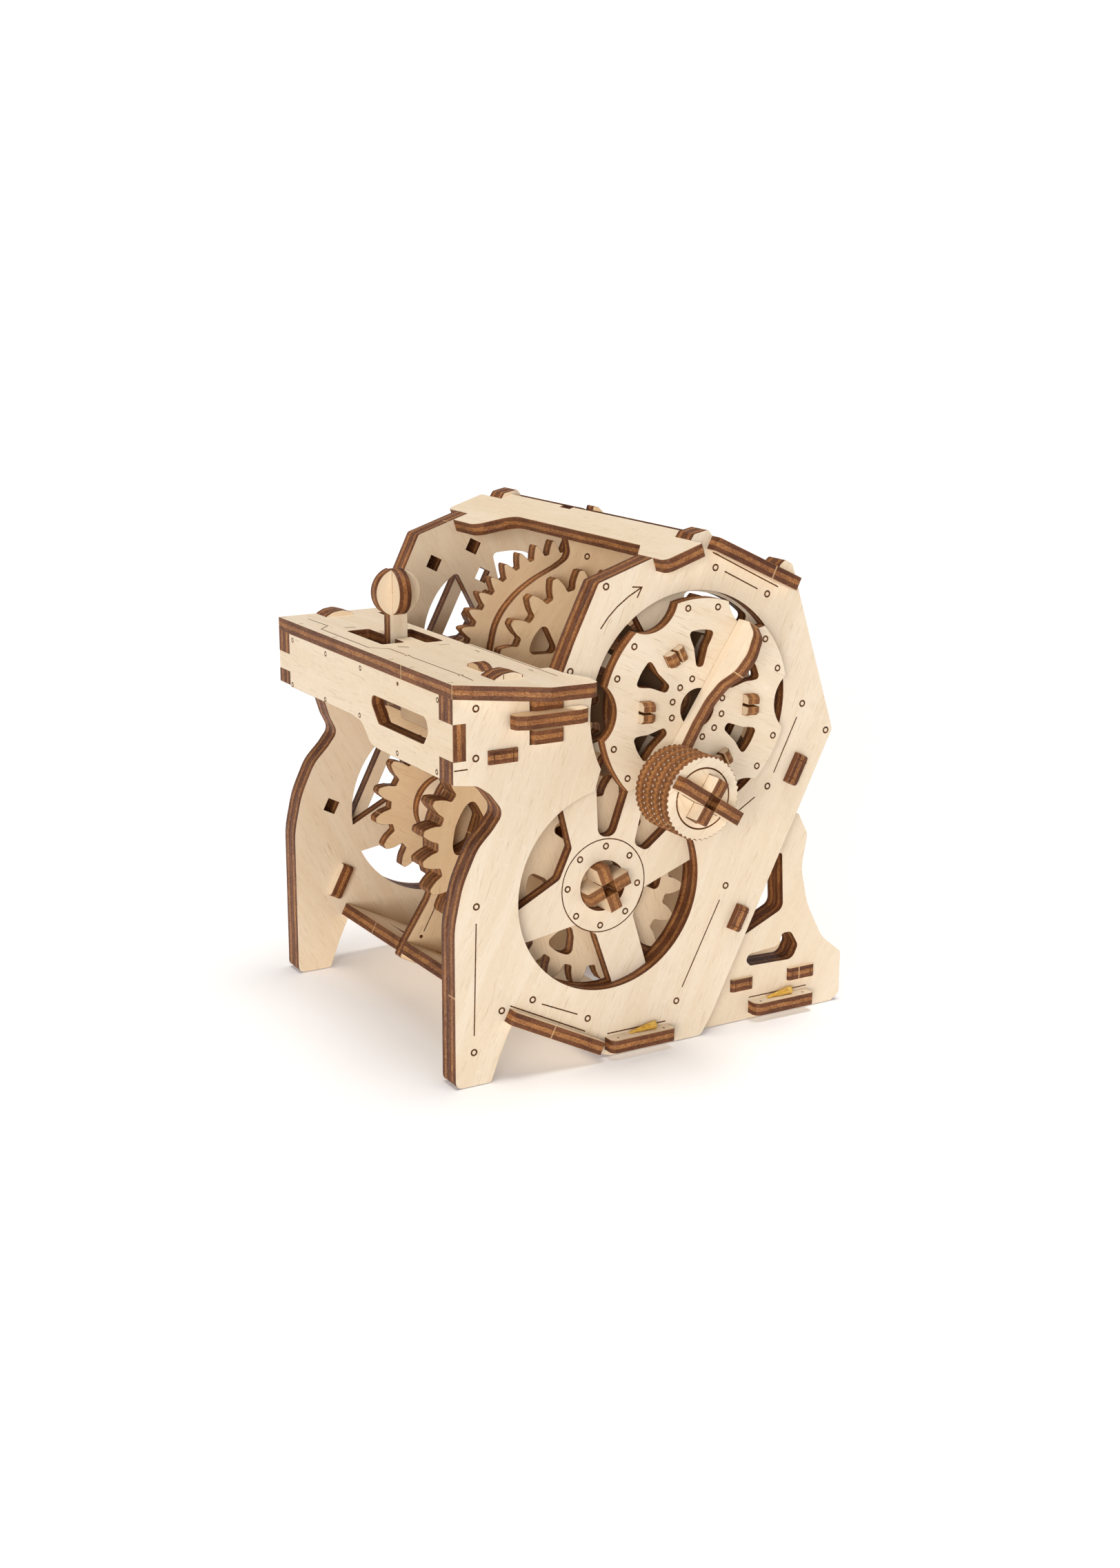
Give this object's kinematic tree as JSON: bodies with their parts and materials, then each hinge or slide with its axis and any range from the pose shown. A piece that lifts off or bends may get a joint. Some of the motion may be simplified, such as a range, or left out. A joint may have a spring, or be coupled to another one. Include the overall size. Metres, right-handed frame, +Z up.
{
  "type": "wooden gearbox model kit",
  "caption": "Hand-cranked gearbox model of laser-cut plywood: two shafts of meshing gears between slotted side walls, with a shift lever, a sliding rail and a knobbed crank disc.",
  "frame": {"origin": "centre of the overall box, on the table that the walls stand on", "axes": "+X along both shafts from the output side to the crank, -Y towards the console with the shift lever, +Z up"},
  "size_m": [0.156, 0.1392, 0.1534],
  "materials": {
    "birch_plywood": "bare three-layer birch plywood, matt, with edges burnt dark brown by laser cutting",
    "toothpick_wood": "bare round wooden toothpick"
  },
  "bodies": {
    "frame": {"right_outer_plate": "birch_plywood", "right_inner_plate": "birch_plywood", "left_inner_plate": "birch_plywood", "left_outer_plate": "birch_plywood", "middle_plate": "birch_plywood", "front_panel": "birch_plywood", "console_top": "birch_plywood", "console_shelf": "birch_plywood", "console_rib": "birch_plywood", "rail_guide": "birch_plywood", "roof_plate": "birch_plywood", "upper_rear_plate": "birch_plywood", "lower_front_plate": "birch_plywood", "upper_rear_brace": "birch_plywood", "lower_rear_brace": "birch_plywood", "base_shelf": "birch_plywood", "base_tie_front": "birch_plywood", "base_tie_rear": "birch_plywood", "left_stop_tab": "birch_plywood", "toothpick_wedges": "toothpick_wood", "idler_axle_blade_a": "birch_plywood", "idler_axle_blade_b": "birch_plywood", "idler_collar": "birch_plywood", "lever_brackets": "birch_plywood", "lever_pivot_pin": "toothpick_wood", "right_leg_liner": "birch_plywood", "left_leg_liner": "birch_plywood"},
    "crank": {"crank_disc": "birch_plywood", "crank_arm": "birch_plywood", "drum_spacers": "birch_plywood", "input_gear": "birch_plywood", "knob_axle_blade": "birch_plywood", "knob_bushing": "birch_plywood"},
    "knob": {"knob_front_disc": "birch_plywood", "knob_discs": "birch_plywood"},
    "countershaft": {"lower_shaft_blade_a": "birch_plywood", "lower_shaft_blade_b": "birch_plywood", "counter_input_gear": "birch_plywood", "counter_wide_gear_left": "birch_plywood", "counter_wide_gear_right": "birch_plywood", "counter_fine_gear": "birch_plywood", "counter_reverse_gear": "birch_plywood", "lower_shaft_collars": "birch_plywood"},
    "output_shaft": {"output_shaft_blade_a": "birch_plywood", "output_shaft_blade_b": "birch_plywood", "output_shaft_collars": "birch_plywood"},
    "sleeve": {"sleeve_dog_left": "birch_plywood", "sleeve_core": "birch_plywood", "sleeve_dog_right": "birch_plywood"},
    "direct_gear": {"direct_gear": "birch_plywood"},
    "slow_gear": {"slow_gear": "birch_plywood"},
    "reverse_gear": {"reverse_gear": "birch_plywood"},
    "reverse_idler": {"reverse_idler_gear": "birch_plywood"},
    "shift_rail": {"shift_rail_lower": "birch_plywood", "shift_rail_bar": "birch_plywood", "shift_rail_upper": "birch_plywood", "shift_fork": "birch_plywood"},
    "lever": {"lever_plate": "birch_plywood", "lever_cross_disc": "birch_plywood"}
  },
  "joints": [
    {"name": "crank_spin", "type": "hinge", "parent": "frame", "child": "crank", "pos_m": [0.0405, 0.00734, 0.1031], "axis": [1, 0, 0], "continuous": true},
    {"name": "knob_spin", "type": "hinge", "parent": "crank", "child": "knob", "pos_m": [0.065, -0.00557, 0.08322], "axis": [1, 0, 0], "continuous": true},
    {"name": "countershaft_spin", "type": "hinge", "parent": "frame", "child": "countershaft", "pos_m": [-0.0135, -0.0189, 0.0516], "axis": [1, 0, 0], "continuous": true},
    {"name": "direct_gear_spin", "type": "hinge", "parent": "frame", "child": "direct_gear", "pos_m": [-0.0137, 0.00734, 0.1031], "axis": [1, 0, 0], "continuous": true},
    {"name": "slow_gear_spin", "type": "hinge", "parent": "frame", "child": "slow_gear", "pos_m": [-0.0265, 0.00734, 0.1031], "axis": [1, 0, 0], "continuous": true},
    {"name": "reverse_idler_spin", "type": "hinge", "parent": "frame", "child": "reverse_idler", "pos_m": [-0.0616, -0.02484, 0.09015], "axis": [1, 0, 0], "continuous": true},
    {"name": "reverse_gear_spin", "type": "hinge", "parent": "frame", "child": "reverse_gear", "pos_m": [-0.0616, 0.00734, 0.1031], "axis": [1, 0, 0], "continuous": true},
    {"name": "output_shaft_spin", "type": "hinge", "parent": "frame", "child": "output_shaft", "pos_m": [-0.0435, 0.00734, 0.1031], "axis": [1, 0, 0], "continuous": true},
    {"name": "rail_slide", "type": "slide", "parent": "frame", "child": "shift_rail", "axis": [1, 0, 0], "range_m": [0, 0.009]},
    {"name": "sleeve_slide", "type": "slide", "parent": "output_shaft", "child": "sleeve", "axis": [1, 0, 0], "range_m": [0, 0.009]},
    {"name": "lever_rock", "type": "hinge", "parent": "frame", "child": "lever", "pos_m": [-0.025, -0.0513, 0.1045], "axis": [1, 0, 0], "range_deg": [-12, 12]}
  ],
  "couplings": [
    {"joint": "countershaft_spin", "follows": "crank_spin", "ratio": -1},
    {"joint": "direct_gear_spin", "follows": "crank_spin", "ratio": 1},
    {"joint": "slow_gear_spin", "follows": "crank_spin", "ratio": 0.55},
    {"joint": "reverse_idler_spin", "follows": "crank_spin", "ratio": 1.25},
    {"joint": "reverse_gear_spin", "follows": "crank_spin", "ratio": -1.25},
    {"joint": "sleeve_slide", "follows": "rail_slide", "ratio": 1}
  ]
}
